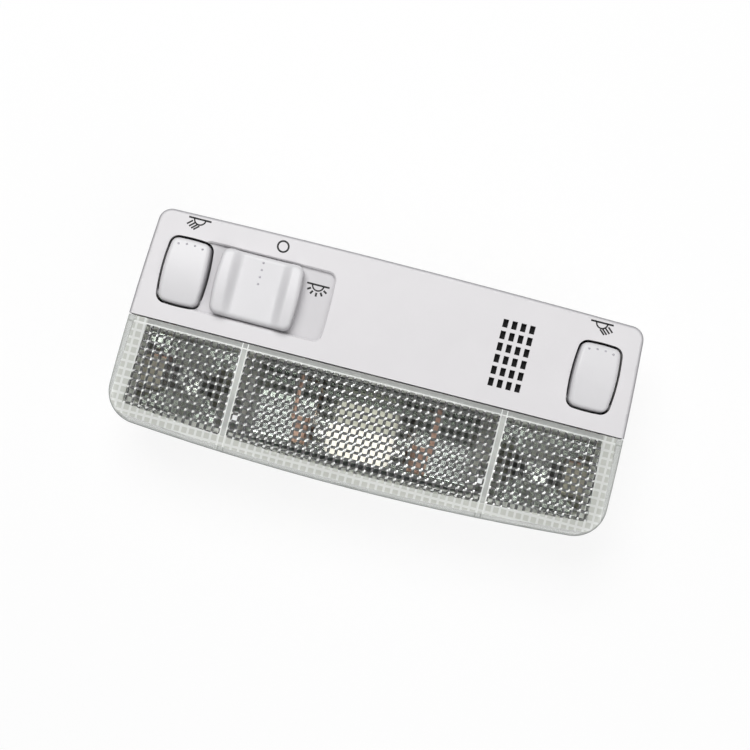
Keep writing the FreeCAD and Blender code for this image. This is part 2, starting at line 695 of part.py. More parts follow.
def rear_housing():
    body = inside(BODY_INSET, 0, FLANGE_TOP).cut(
        box(-FAR, FAR, CROSS_WALL_Y, FAR, -1, COMPARTMENT_Z))
    flange = inside(SKIRT_T + FLANGE_GAP, FLANGE_Z, FLANGE_TOP)
    lamp_box = inside(CHAMBER_INSET, HOUSING_T, FACE_Z).common(below(CHAMBER_Y))
    switch_box = inside(CHAMBER_INSET, COMPARTMENT_FLOOR, FACE_Z).common(above(CROSS_WALL_Y))
    body = body.fuse(flange).cut([lamp_box, switch_box])

    divider_top = PRISM_TIP_Z - FIT_GAP
    adds = rear_ribs()
    for side in (-1, 1):
        x = side * DIVIDER_X
        adds.append(box(x - DIVIDER_T / 2, x + DIVIDER_T / 2, TOWER_TOP_Y - TOWER_T / 2,
                        CHAMBER_Y + HOUSING_T / 2, HOUSING_T / 2, divider_top))
        adds.append(tower_box(side, 0, HOUSING_T / 2, divider_top))
        adds.append(tongue(side))
    adds += [post(POST_R, x, y, COMPARTMENT_FLOOR - HOUSING_T / 2, BOARD_Z)
             for x, y in BOARD_SCREWS + BOARD_POSTS]
    body = fuse([body] + adds)

    seam_relief = box(-FAR, FAR, CHAMBER_Y - FIT_GAP, SEAM_Y + TAB_REACH + LIP_T, CROSS_TOP_Z, FAR)
    cuts = [seam_relief] + strip_slots()
    for side in (-1, 1):
        cuts.append(tower_box(side, TOWER_T, SCREW_SEAT_Z, FACE_Z))
        cuts.append(post(MOUNT_HOLE_R, side * DIVIDER_X, MOUNT_SCREW_Y, -1, SCREW_SEAT_Z + 1))
    cuts += [post(BOSS_SCREW_R + FIT_GAP, x, y, COMPARTMENT_Z - 1, COMPARTMENT_FLOOR + 1)
             for x, y in BOSS_SCREWS]
    cuts += [post(BOARD_SCREW_R, x, y, COMPARTMENT_FLOOR, BOARD_Z + 1) for x, y in BOARD_SCREWS]
    cuts.append(plug_box(FIT_GAP, COMPARTMENT_Z - 1, COMPARTMENT_FLOOR + 1))
    for side in (-1, 1):
        cuts += button_room(side)
    return body.cut(cuts)


def button_room(side):
    """Room in the flange for a button's skirt at full press, and for its outer pivot lug."""
    sweep = BUTTON_H * math.sin(math.radians(PRESS_ANGLE))
    foot = FACE_Z - BUTTON_DEPTH - sweep - FIT_GAP
    skirt = prism(button_plan(side, -BUTTON_GAP - FIT_GAP), foot, FACE_Z)
    x0, x1 = sorted((side * BUTTON_X, side * (BUTTON_X + pivot_reach() + FIT_GAP)))
    half = LUG_H + FIT_GAP
    return [skirt, box(x0, x1, PIVOT_Y - half, PIVOT_Y + half, PIVOT_Z - half, FACE_Z)]


# Buttons and push switches

def button(side):
    top = FACE_Z + BUTTON_PROUD
    foot = FACE_Z - BUTTON_DEPTH
    skin = loft(button_plan(side, 0), foot, button_plan(side, BUTTON_DRAFT), top + BUTTON_DRAFT)
    skin = skin.common(crown(BUTTON_CROWN_R, BUTTON_Y, top))
    edge = [e for e in skin.Edges if e.BoundBox.ZMin > FACE_Z]
    skin = skin.makeFillet(BUTTON_EDGE_R, edge)

    roof = top - 2 * BUTTON_T
    hollow = loft(button_plan(side, BUTTON_T), foot - 1, button_plan(side, BUTTON_T + BUTTON_DRAFT), roof)
    x = side * BUTTON_X
    pusher_foot = PLUNGER_TOP + FIT_GAP
    pusher = fuse([box(x - PUSH_W / 2, x + PUSH_W / 2, PUSH_Y - PUSH_R, PUSH_Y + PUSH_R,
                       pusher_foot + PUSH_R, roof + BUTTON_T / 2),
                   rod_x(PUSH_R, x - PUSH_W / 2, x + PUSH_W / 2, PUSH_Y, pusher_foot + PUSH_R)])
    stubs = []
    for way in (-1, 1):
        ends = sorted((x + way * (button_half_width(PIVOT_Y) - BUTTON_T), x + way * pivot_reach()))
        stubs.append(rod_x(PIVOT_R, ends[0], ends[1], PIVOT_Y, PIVOT_Z))
    return fuse([skin.cut(hollow), pusher] + stubs)


def push_switch(side):
    x = side * BUTTON_X
    half, well = SWITCH_W / 2, PLUNGER_W / 2 + PLUNGER_GAP
    case = box(x - half, x + half, PUSH_Y - half, PUSH_Y + half, BOARD_TOP, SWITCH_TOP)
    top_edges = [e for e in case.Edges if e.BoundBox.ZMin > SWITCH_TOP - 1e-6]
    case = case.makeChamfer(0.08 * SWITCH_W, top_edges)
    floor = SWITCH_TOP - PLUNGER_IN - PRESS_TRAVEL - FIT_GAP
    return case.cut(box(x - well, x + well, PUSH_Y - well, PUSH_Y + well, floor, SWITCH_TOP + 1))


def switch_plunger(side):
    x, half = side * BUTTON_X, PLUNGER_W / 2
    return box(x - half, x + half, PUSH_Y - half, PUSH_Y + half, SWITCH_TOP - PLUNGER_IN, PLUNGER_TOP)


# Dome lamp slider

def slider_profile():
    """Saddle section of the knob: two ridges with a finger valley between them."""
    half = SLIDER_W / 2 + SLIDER_TRIM
    base = RECESS_Z + FIT_GAP
    ridge, valley = FACE_Z + SLIDER_RIDGE, FACE_Z + SLIDER_VALLEY
    r = SLIDER_RIDGE_R
    inner = half - SLIDER_RIDGE_W
    slope = (ridge - valley) / 2
    points = {
        "foot": V(half, 0, base - RECESS_DEPTH),
        "shoulder": V(half, 0, ridge - r),
        "crest": V(half - r, 0, ridge),
        "brow": V(inner + 2 * slope, 0, ridge),
        "middle": V(inner + slope, 0, ridge - slope),
        "floor": V(inner, 0, valley),
    }

    def quarter(start, end, centre):
        way = ((start - centre) + (end - centre)).normalize()
        return Part.Arc(start, centre + way * (start - centre).Length, end).toShape()

    right = [
        Part.makeLine(points["foot"], points["shoulder"]),
        quarter(points["shoulder"], points["crest"], V(half - r, 0, ridge - r)),
        Part.makeLine(points["crest"], points["brow"]),
        quarter(points["brow"], points["middle"], V(inner + 2 * slope, 0, ridge - slope)),
        quarter(points["middle"], points["floor"], V(inner, 0, valley + slope)),
    ]
    left = [e.mirror(V(0, 0, 0), V(1, 0, 0)) for e in right]
    flipped = V(-points["floor"].x, 0, points["floor"].z)
    foot = V(-points["foot"].x, 0, points["foot"].z)
    joined = right + left + [Part.makeLine(points["floor"], flipped), Part.makeLine(foot, points["foot"])]
    return Part.Face(Part.Wire(Part.__sortEdges__(joined)))


def slider_plan(draw_in):
    return centred_plan(SLIDER_X, SLIDER_Y, SLIDER_W, SLIDER_H, SLIGHT_BOW, SLIDER_SIDE_BOW,
                        SLIDER_CORNER_R, draw_in)


def dome_slider():
    """Saddle knob: its ridges are crowned along Y, and it is hollow below with a stem to the carriage."""
    face = slider_profile()
    face.translate(V(SLIDER_X, SLIDER_Y - SLIDER_H, 0))
    saddle = face.extrude(V(0, 2 * SLIDER_H, 0))
    foot = RECESS_Z + FIT_GAP
    knob = saddle.common(prism(slider_plan(0), foot, FACE_Z + 2 * SLIDER_RIDGE))
    knob = knob.common(crown(SLIDER_CROWN_R, SLIDER_Y, FACE_Z + SLIDER_RIDGE))
    roof = FACE_Z + SLIDER_VALLEY - SLIDER_T
    hollow = prism(slider_plan(SLIDER_T), foot, roof)
    stem = box(SLIDER_X - STEM_W / 2, SLIDER_X + STEM_W / 2, SLIDER_Y - STEM_H / 2, SLIDER_Y + STEM_H / 2,
               CARRIAGE_Z, roof + SLIDER_T / 2)
    return fuse([knob.cut(hollow), stem])


def slider_carriage():
    plate = box(SLIDER_X - CARRIAGE_W / 2, SLIDER_X + CARRIAGE_W / 2,
                SLIDER_Y - CARRIAGE_H / 2, SLIDER_Y + CARRIAGE_H / 2, CARRIAGE_Z, CARRIAGE_TOP)
    corners = [e for e in plate.Edges if e.BoundBox.ZLength > CARRIAGE_T - 0.01]
    plate = plate.makeFillet(CARRIAGE_T, corners)
    return plate.cut(box(SLIDER_X - STEM_W / 2, SLIDER_X + STEM_W / 2,
                         SLIDER_Y - STEM_H / 2, SLIDER_Y + STEM_H / 2, CARRIAGE_Z - 1, FACE_Z))


def slider_wiper():
    """Bent contact leaf under the carriage: two legs reach down to the switch."""
    half, drop = WIPER_SPAN / 2, DOME_SWITCH_TOP + FIT_GAP + STRIP_T / 2
    top = CARRIAGE_Z - STRIP_T / 2
    path = [(-half, drop + 1), (-half * 0.75, drop), (-half * 0.35, top), (half * 0.35, top),
            (half * 0.75, drop), (half, drop + 1)]
    leaf = stand_xz(strip_solid(path, STRIP_T, WIPER_W), SLIDER_Y + WIPER_W / 2)
    leaf.translate(V(SLIDER_X, 0, 0))
    return leaf


def dome_switch_base():
    x0 = SLIDER_X - WIPER_SPAN / 2 - 2 * STRIP_T
    x1 = SLIDER_X + SLIDER_TRAVEL + WIPER_SPAN / 2 + 2 * STRIP_T
    half = DOME_SWITCH_DEPTH / 2
    return box(x0, x1, SLIDER_Y - half, SLIDER_Y + half, BOARD_TOP, DOME_SWITCH_TOP)


# Microphone

def grille_foam():
    return grille_box(0, PANEL_UNDER_Z - FOAM_T, PANEL_UNDER_Z)


def microphone_boot():
    half_x = grille_half()[0]
    top = PANEL_UNDER_Z - FOAM_T
    block = box(GRILLE_X - half_x, GRILLE_X + half_x, GRILLE_Y - BOOT_L / 2, GRILLE_Y + BOOT_L / 2,
                top - BOOT_H, top)
    return block.cut(post(MIC_R, GRILLE_X, GRILLE_Y, top - MIC_H, top + 1))


def microphone_capsule():
    top = PANEL_UNDER_Z - FOAM_T
    can = post(MIC_R, GRILLE_X, GRILLE_Y, top - MIC_H, top)
    port = post(MIC_R / 6, GRILLE_X, GRILLE_Y, top - MIC_H / 3, top + 1)
    return can.cut(port)


# Circuit board, connector and screws

def plug_box(grow, z0, z1):
    return box(PLUG_X - PLUG_W / 2 - grow, PLUG_X + PLUG_W / 2 + grow,
               PLUG_Y - PLUG_H / 2 - grow, PLUG_Y + PLUG_H / 2 + grow, z0, z1)


def pin_places():
    return [(PLUG_X + x, PLUG_Y + y) for x in spread(PIN_COLUMNS, PIN_PITCH_X)
            for y in spread(PIN_ROWS, PIN_PITCH_Y)]


def pin_box(x, y, grow, z0, z1):
    half = PIN_W / 2 + grow
    return box(x - half, x + half, y - half, y + half, z0, z1)


def connector_socket():
    shroud = plug_box(0, 0, BOARD_Z)
    mouth = [e for e in shroud.Edges if e.BoundBox.ZLength > 1]
    shroud = shroud.makeFillet(PLUG_T, mouth)
    cavity = plug_box(-PLUG_T, -1, PLUG_DEPTH)
    key = box(PLUG_X - PLUG_T, PLUG_X + PLUG_T, PLUG_Y + PLUG_H / 2 - PLUG_T - 0.1,
              PLUG_Y + PLUG_H / 2 + 1, -1, PLUG_DEPTH / 2)
    holes = [pin_box(x, y, 0, 0, BOARD_Z + 1) for x, y in pin_places()]
    return shroud.cut([cavity, key] + holes)


def connector_pins():
    return Part.makeCompound([pin_box(x, y, 0, PIN_TIP_Z, BOARD_TOP + PIN_W) for x, y in pin_places()])


def circuit_board():
    board = box(-BOARD_HALF_LENGTH, BOARD_HALF_LENGTH, BOARD_Y0, BOARD_Y1, BOARD_Z, BOARD_TOP)
    corners = [e for e in board.Edges if e.BoundBox.ZLength > BOARD_T - 0.01]
    board = board.makeFillet(POST_R, corners)
    holes = [post(BOSS_R + FIT_GAP, x, y, 0, FACE_Z) for x, y in BOSS_SCREWS]
    holes += [post(BOARD_SCREW_R + FIT_GAP / 2, x, y, 0, FACE_Z) for x, y in BOARD_SCREWS]
    holes += [pin_box(x, y, PIN_W / 8, 0, FACE_Z) for x, y in pin_places()]
    return board.cut(holes)


def screw(x, y, head_z, head_r, head_h, shank_r, shank_l, up):
    """Pan-head screw with a cross recess. Its shank runs along up from the seat at head_z."""
    head = post(head_r, x, y, min(head_z, head_z - up * head_h), max(head_z, head_z - up * head_h))
    far_z = head_z - up * head_h
    rim = [e for e in head.Edges if abs(e.BoundBox.ZMin - far_z) < 1e-6 and e.BoundBox.XLength > 1]
    head = head.makeFillet(0.4 * head_h, rim)
    tip = head_z + up * shank_l
    shank = post(shank_r, x, y, min(head_z, tip), max(head_z, tip))
    arm, wide = 0.55 * head_r, 0.12 * head_r
    face = head_z - up * head_h
    z0, z1 = sorted((face - up, face + up * 0.6 * head_h))
    cross = [box(x - arm, x + arm, y - wide, y + wide, z0, z1),
             box(x - wide, x + wide, y - arm, y + arm, z0, z1)]
    return head.fuse(shank).cut(cross).removeSplitter()


def cover_screws():
    return Part.makeCompound([screw(x, y, COMPARTMENT_Z, BOSS_HEAD_R, BOSS_HEAD_H, BOSS_SCREW_R,
                                    BOSS_SCREW_L, 1) for x, y in BOSS_SCREWS])


def board_screws():
    grip = BOARD_TOP - COMPARTMENT_FLOOR - FIT_GAP
    return Part.makeCompound([screw(x, y, BOARD_TOP, BOARD_HEAD_R, BOARD_HEAD_H, BOARD_SCREW_R, grip, -1)
                              for x, y in BOARD_SCREWS])


# Dome lamp

def dome_bulb_glass():
    """Festoon tube drawn in to a neck at each end."""
    half, r, t = DOME_GLASS_L / 2, DOME_GLASS_R, GLASS_T
    shoulder = half - DOME_NECK_L

    def tube(radius, neck):
        bend = V(shoulder + (half - shoulder) * 0.75, (radius + neck) / 2 + (radius - neck) * 0.25, 0)
        right = Part.Arc(V(shoulder, radius, 0), bend, V(half, neck, 0)).toShape()
        left = right.mirror(V(0, 0, 0), V(1, 0, 0))
        wall = Part.makeLine(V(-shoulder, radius, 0), V(shoulder, radius, 0))
        ends = [Part.makeLine(V(-half, 0, 0), V(-half, neck, 0)),
                Part.makeLine(V(half, neck, 0), V(half, 0, 0))]
        axis = Part.makeLine(V(half, 0, 0), V(-half, 0, 0))
        ring = Part.Wire(Part.__sortEdges__([left, wall, right, axis] + ends))
        return Part.Face(ring).revolve(V(0, 0, 0), V(1, 0, 0), 360)

    glass = tube(r, DOME_NECK_R).cut(tube(r - t, DOME_NECK_R - t))
    glass.translate(V(0, DOME_Y, DOME_Z))
    return glass


def dome_bulb_caps():
    caps = []
    for way in (-1, 1):
        start = way * DOME_GLASS_L / 2
        barrel = Part.makeCylinder(DOME_CAP_R, DOME_CAP_L, V(start, DOME_Y, DOME_Z), V(way, 0, 0))
        cone = Part.makeCone(DOME_CAP_R, DOME_CONE_R, DOME_CONE_L,
                             V(start + way * DOME_CAP_L, DOME_Y, DOME_Z), V(way, 0, 0))
        caps.append(barrel.fuse(cone).removeSplitter())
    return Part.makeCompound(caps)


def dome_bulb_filament():
    lead = rod_x(LEAD_R, -DOME_GLASS_L / 2, DOME_GLASS_L / 2, DOME_Y, DOME_Z)
    return fuse([lead, rod_x(DOME_COIL_R, -DOME_COIL_L / 2, DOME_COIL_L / 2, DOME_Y, DOME_Z)])


def contact_x():
    """Middle of a contact leaf's sheet: the bulb's cone enters the leaf's hole."""
    seat = (DOME_CAP_R - CONTACT_HOLE_R) / (DOME_CAP_R - DOME_CONE_R) * DOME_CONE_L
    return DOME_CAP_END + seat + STRIP_T / 2 + FIT_GAP / 2


def dome_contact(side):
    """Copper leaf that grips one cap, with a foot on the reflector and a tail to the board."""
    x, floor = contact_x(), HOUSING_T + REFLECTOR_T + STRIP_T / 2
    top = DOME_Z + CONTACT_RISE
    path = [(x + 0.8, top + 1.6), (x, top), (x, floor), (x + CONTACT_FOOT, floor)]
    leaf = stand_xz(strip_solid(path, STRIP_T, CONTACT_W), DOME_Y + CONTACT_W / 2)
    hole = rod_x(CONTACT_HOLE_R, x - 1, x + 1, DOME_Y, DOME_Z)
    tail_x = x + CONTACT_FOOT
    y0 = DOME_Y + CONTACT_W / 2 - STRIP_WIDTH
    tail = strip_run(tail_x, [(y0, floor)])
    whole = fuse([leaf.cut(hole), tail])
    return whole if side > 0 else whole.mirror(V(0, 0, 0), V(1, 0, 0))


def trough_profile(grow):
    """Section of the dome reflector in Y and Z, closed across its mouth."""
    rim = FLANGE_TOP - TROUGH_RIM_DROP
    back = CHAMBER_Y - TROUGH_GAP - REFLECTOR_T + grow
    wall = low_at(TROUGH_HALF, CHAMBER_INSET)
    front = wall + TROUGH_GAP + REFLECTOR_T - grow
    floor = HOUSING_T + REFLECTOR_T - grow
    left, right = DOME_Y - TROUGH_FLOOR_W / 2, DOME_Y + TROUGH_FLOOR_W / 2
    front_r, rear_r = left - front, back - right
    edges = [
        Part.makeLine(V(0, front, rim), V(0, front, floor + front_r)),
        arc_about(V(0, left, floor + front_r), front_r, V(0, front, floor + front_r), V(0, left, floor)),
        Part.makeLine(V(0, left, floor), V(0, right, floor)),
        arc_about(V(0, right, floor + rear_r), rear_r, V(0, right, floor), V(0, back, floor + rear_r)),
        Part.makeLine(V(0, back, floor + rear_r), V(0, back, rim)),
        Part.makeLine(V(0, back, rim), V(0, front, rim)),
    ]
    return Part.Face(Part.Wire(edges))


def dome_reflector():
    half = TROUGH_HALF
    solids = []
    for grow in (REFLECTOR_T, 0):
        face = trough_profile(grow)
        face.translate(V(-half, 0, 0))
        solids.append(face.extrude(V(2 * half, 0, 0)))
    trough = solids[0].cut(solids[1])
    cuts = []
    for side in (-1, 1):
        x = side * (contact_x() + CONTACT_FOOT)
        reach = STRIP_WIDTH / 2 + FIT_GAP
        start = DOME_Y + CONTACT_W / 2 - STRIP_WIDTH - FIT_GAP
        cuts.append(box(x - reach, x + reach, start, FAR, -1, WALL_SLOT_Z + 2 * STRIP_T))
    return trough.cut(cuts)


# Reading lamps, drawn on the right and mirrored for the left

def base_x():
    """Outer end of a wedge bulb's base."""
    ends = (READ_Y - SOCKET_W / 2, READ_Y + SOCKET_W / 2)
    return min(half_length_at(y, CHAMBER_INSET) for y in ends) - READ_BASE_GAP


def reading_bulb(side):
    end = base_x()
    wedge = box(end - WEDGE_L, end, READ_Y - WEDGE_W / 2, READ_Y + WEDGE_W / 2,
                READ_Z - WEDGE_T / 2, READ_Z + WEDGE_T / 2)

    def bulb(radius, back):
        start = end - WEDGE_L + back
        tip = end - WEDGE_L - READ_GLASS_L + (READ_GLASS_R - radius)
        barrel = rod_x(radius, tip + radius, start, READ_Y, READ_Z)
        return barrel.fuse(Part.makeSphere(radius, V(tip + radius, READ_Y, READ_Z)))

    glass = bulb(READ_GLASS_R, 0).cut(bulb(READ_GLASS_R - GLASS_T, -GLASS_T))
    whole = fuse([wedge, glass])
    return whole if side > 0 else whole.mirror(V(0, 0, 0), V(1, 0, 0))


def reading_filament(side):
    foot = base_x() - WEDGE_L - GLASS_T
    top = foot - READ_LEAD_L
    leads = [rod_x(LEAD_R, top, foot, READ_Y + way * READ_LEAD_SPREAD, READ_Z) for way in (-1, 1)]
    coil = Part.makeCylinder(READ_COIL_R, 2 * READ_LEAD_SPREAD, V(top, READ_Y - READ_LEAD_SPREAD, READ_Z),
                             V(0, 1, 0))
    whole = fuse([coil] + leads)
    return whole if side > 0 else whole.mirror(V(0, 0, 0), V(1, 0, 0))


def strip_xs():
    """The two strips of a right-hand reading lamp, from its socket to the board."""
    middle = base_x() - SOCKET_L / 2
    return middle - STRIP_X_PITCH / 2, middle + STRIP_X_PITCH / 2


def strip_places():
    """Every strip's place along X where it passes the wall behind the seam."""
    right = list(strip_xs()) + [contact_x() + CONTACT_FOOT]
    return [-x for x in right] + right


def strip_run(x, start):
    """Strip from a lamp, along the floor, up the wall behind the seam and through it to the board."""
    floor = HOUSING_T + REFLECTOR_T + STRIP_T / 2
    wall = CHAMBER_Y - STRIP_T / 2 - FIT_GAP
    end = BOARD_Y0 + STRIP_T
    path = start + [(wall, floor), (wall, WALL_SLOT_Z), (end, WALL_SLOT_Z), (end, BOARD_Z)]
    return stand_yz(strip_solid(path, STRIP_T, STRIP_WIDTH), x - STRIP_WIDTH / 2)


def socket_strips(side):
    """Copper pair of a reading lamp: one leaf above the wedge, one below, down to the floor."""
    floor = HOUSING_T + REFLECTOR_T + STRIP_T / 2
    drop = READ_Y + SOCKET_W / 2 + FIT_GAP + STRIP_T / 2
    made = []
    for x, way in zip(strip_xs(), (-1, 1)):
        leaf_z = READ_Z + way * (WEDGE_T / 2 + STRIP_T / 2)
        made.append(strip_run(x, [(READ_Y + WEDGE_W / 2 - LEAF_L, leaf_z), (drop, leaf_z), (drop, floor)]))
    pair = Part.makeCompound(made)
    return pair if side > 0 else pair.mirror(V(0, 0, 0), V(1, 0, 0))


def bulb_socket(side):
    """Holder for a wedge base: a block on the floor, slotted towards the lamp and for its leaves."""
    end = base_x() + READ_BASE_GAP / 2
    block = box(end - SOCKET_L, end, READ_Y - SOCKET_W / 2, READ_Y + SOCKET_W / 2,
                HOUSING_T, READ_Z + SOCKET_TOP)
    mouth = box(end - SOCKET_L - 1, base_x(), READ_Y - WEDGE_W / 2, READ_Y + WEDGE_W / 2,
                READ_Z - WEDGE_T / 2, READ_Z + WEDGE_T / 2)
    leaves = []
    for x, way in zip(strip_xs(), (-1, 1)):
        z0, z1 = sorted((READ_Z + way * WEDGE_T / 2, READ_Z + way * (WEDGE_T / 2 + STRIP_T)))
        leaves.append(box(x - STRIP_WIDTH / 2, x + STRIP_WIDTH / 2, READ_Y + WEDGE_W / 2 - LEAF_L,
                          READ_Y + SOCKET_W, z0, z1))
    whole = block.cut([mouth] + leaves)
    return whole if side > 0 else whole.mirror(V(0, 0, 0), V(1, 0, 0))


def reading_reflector(side):
    """Paraboloid bowl trimmed to its chamber, with a foot on the floor and room for the socket."""
    steps = 5
    radii = [BOWL_R * i / steps for i in range(steps + 1)]
    curve = [V(r, 0, r ** 2 / (4 * BOWL_FOCUS)) for r in radii]
    wall = Part.BSplineCurve()
    wall.interpolate(curve)
    arc = wall.toShape()
    rim, thick = curve[-1], V(0, 0, REFLECTOR_T)
    ring = [arc, Part.makeLine(rim, rim + thick), arc.translated(thick), Part.makeLine(thick, V(0, 0, 0))]
    bowl = Part.Face(Part.Wire(Part.__sortEdges__(ring))).revolve(V(0, 0, 0), V(0, 0, 1), 360)
    lift = HOUSING_T + REFLECTOR_T
    bowl.translate(V(BOWL_X, READ_Y, lift))
    hollow_side = prism(Part.Face(Part.Wire(Part.makeCircle(BOWL_FOOT_R, V(BOWL_X, READ_Y, 0)))),
                        HOUSING_T, lift + REFLECTOR_T / 2)
    bowl = fuse([bowl, hollow_side])
    chamber = inside(CHAMBER_INSET + BOWL_GAP, 0, FLANGE_TOP).common(
        box(DIVIDER_X + DIVIDER_T / 2 + BOWL_GAP, FAR, -FAR, CHAMBER_Y - BOWL_GAP, -FAR, FAR))
    end = base_x() - SOCKET_L + READ_BASE_GAP / 2
    cuts = [
        box(-FAR, DIVIDER_X + TOWER_W / 2 + BOWL_GAP, -FAR, TOWER_TOP_Y + BOWL_GAP, -FAR, FAR),
        box(end - BOWL_GAP, FAR, READ_Y - SOCKET_W / 2 - BOWL_GAP,
            READ_Y + SOCKET_W / 2 + 2 * BOWL_GAP + STRIP_T, -FAR, FAR),
    ]
    whole = bowl.common(chamber).cut(cuts)
    return whole if side > 0 else whole.mirror(V(0, 0, 0), V(1, 0, 0))


def build():
    os.makedirs("parts", exist_ok=True)
    nodes = {
        "front_cover": front_cover(),
        "lens": lens(),
        "rear_housing": rear_housing(),
        "dome_slider": dome_slider(),
        "slider_carriage": slider_carriage(),
        "slider_wiper": slider_wiper(),
        "dome_switch_base": dome_switch_base(),
        "grille_foam": grille_foam(),
        "microphone_boot": microphone_boot(),
        "microphone_capsule": microphone_capsule(),
        "circuit_board": circuit_board(),
        "connector_socket": connector_socket(),
        "connector_pins": connector_pins(),
        "cover_screws": cover_screws(),
        "board_screws": board_screws(),
        "dome_reflector": dome_reflector(),
        "dome_bulb_glass": dome_bulb_glass(),
        "dome_bulb_caps": dome_bulb_caps(),
        "dome_bulb_filament": dome_bulb_filament(),
    }
    for name, side in (("left", -1), ("right", 1)):
        nodes[f"{name}_button"] = button(side)
        nodes[f"{name}_push_switch"] = push_switch(side)
        nodes[f"{name}_switch_plunger"] = switch_plunger(side)
        nodes[f"{name}_reading_reflector"] = reading_reflector(side)
        nodes[f"{name}_reading_bulb"] = reading_bulb(side)
        nodes[f"{name}_reading_filament"] = reading_filament(side)
        nodes[f"{name}_bulb_socket"] = bulb_socket(side)
        nodes[f"{name}_socket_strips"] = socket_strips(side)
        nodes[f"{name}_dome_contact"] = dome_contact(side)
    for name, shape in nodes.items():
        shape.exportStep(f"parts/{name}.step")
        print(f"{name}: {len(shape.Solids)} solids, {len(shape.Faces)} faces, "
              f"{shape.Volume:.1f} mm3, valid {shape.isValid()}")


build()
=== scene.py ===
import math
import bpy
import numpy as np
from mathutils import Matrix, Vector


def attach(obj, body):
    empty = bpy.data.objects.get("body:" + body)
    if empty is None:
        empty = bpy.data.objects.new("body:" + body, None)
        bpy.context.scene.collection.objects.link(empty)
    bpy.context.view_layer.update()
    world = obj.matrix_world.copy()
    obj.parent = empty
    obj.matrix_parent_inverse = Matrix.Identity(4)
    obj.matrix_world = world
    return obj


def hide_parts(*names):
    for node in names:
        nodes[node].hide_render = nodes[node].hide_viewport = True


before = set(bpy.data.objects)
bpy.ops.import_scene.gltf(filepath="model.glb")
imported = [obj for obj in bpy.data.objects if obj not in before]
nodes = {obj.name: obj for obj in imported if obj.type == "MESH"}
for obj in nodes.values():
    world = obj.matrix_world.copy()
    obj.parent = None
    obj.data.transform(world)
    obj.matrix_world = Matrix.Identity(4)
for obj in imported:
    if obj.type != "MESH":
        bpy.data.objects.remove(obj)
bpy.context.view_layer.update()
mm = 0.001


# A socket with arithmetic, so that a pattern reads as a formula
class Sock:
    def __init__(self, graph, socket):
        self.graph, self.socket = graph, socket

    def math(self, op, other=0.0, swap=False):
        pair = (other, self) if swap else (self, other)
        return self.graph.node("ShaderNodeMath", {0: pair[0], 1: pair[1]}, operation=op)

    def __add__(self, other):
        return self.math("ADD", other)

    def __radd__(self, other):
        return self.math("ADD", other, True)

    def __sub__(self, other):
        return self.math("SUBTRACT", other)

    def __rsub__(self, other):
        return self.math("SUBTRACT", other, True)

    def __mul__(self, other):
        return self.math("MULTIPLY", other)

    def __rmul__(self, other):
        return self.math("MULTIPLY", other, True)

    def __truediv__(self, other):
        return self.math("DIVIDE", other)

    def __rtruediv__(self, other):
        return self.math("DIVIDE", other, True)

    def __abs__(self):
        return self.math("ABSOLUTE")

    def below(self, other):
        return self.math("LESS_THAN", other)

    def above(self, other):
        return self.math("GREATER_THAN", other)

    def larger(self, other):
        return self.math("MAXIMUM", other)


class Graph:
    def __init__(self, name):
        self.material = bpy.data.materials.new(name)
        self.material.use_nodes = True
        self.tree = self.material.node_tree
        self.shader = self.tree.nodes["Principled BSDF"]
        self.coords = self.node("ShaderNodeTexCoord", {}, out="Object")

    # Makes any node: inputs by name or number, links for sockets, plain values otherwise
    def node(self, kind, inputs, out=0, **props):
        made = self.tree.nodes.new(kind)
        for key, value in props.items():
            setattr(made, key, value)
        for key, value in inputs.items():
            self.feed(made.inputs[key], value)
        return Sock(self, made.outputs[out])

    def feed(self, socket, value):
        if isinstance(value, Sock):
            self.tree.links.new(value.socket, socket)
        else:
            socket.default_value = value

    def noise(self, scale, detail=2.0):
        inputs = {"Vector": self.coords, "Scale": scale, "Detail": detail}
        return self.node("ShaderNodeTexNoise", inputs, out="Fac")

    # X, Y and Z of a vector as three values
    def split(self, vector):
        made = self.node("ShaderNodeSeparateXYZ", {0: vector})
        return [Sock(self, out) for out in made.socket.node.outputs]

    # How steep the surface is: 0 on a level face, 1 on a wall
    def steepness(self):
        facing = self.node("ShaderNodeTexCoord", {}, out="Normal")
        return 1.0 - abs(self.split(facing)[2])

    def mix(self, factor, a, b):
        return self.node("ShaderNodeMix", {0: factor, 6: a, 7: b}, out=2, data_type="RGBA")

    def bump(self, height, strength, distance):
        return self.node("ShaderNodeBump", {"Height": height, "Strength": strength, "Distance": distance},
                         out="Normal")

    def set(self, **values):
        for key, value in values.items():
            self.feed(self.shader.inputs[key.replace("_", " ")], value)
        return self.material

    # Two shaders, mixed by a share, on the material's output
    def blend(self, share, first, second):
        mixed = self.node("ShaderNodeMixShader", {0: share, 1: first, 2: second})
        self.tree.links.new(mixed.socket, self.tree.nodes["Material Output"].inputs["Surface"])


def hump(value):
    # A parabola over 0 to 1 with its top, 1, in the middle: on a steepness it picks out rounded edges
    return value * (1.0 - value) * 4.0


def rgb(r, g, b):
    # sRGB bytes to linear light
    return tuple(((c / 255 + 0.055) / 1.055) ** 2.4 if c > 10 else c / 3294.6 for c in (r, g, b)) + (1.0,)


# What several looks share: how far the gloss varies, and how deep the grain is
gloss = {"plastic": 0.08, "grain": 0.05 * mm, "haze": 0.01, "milky": 0.3}


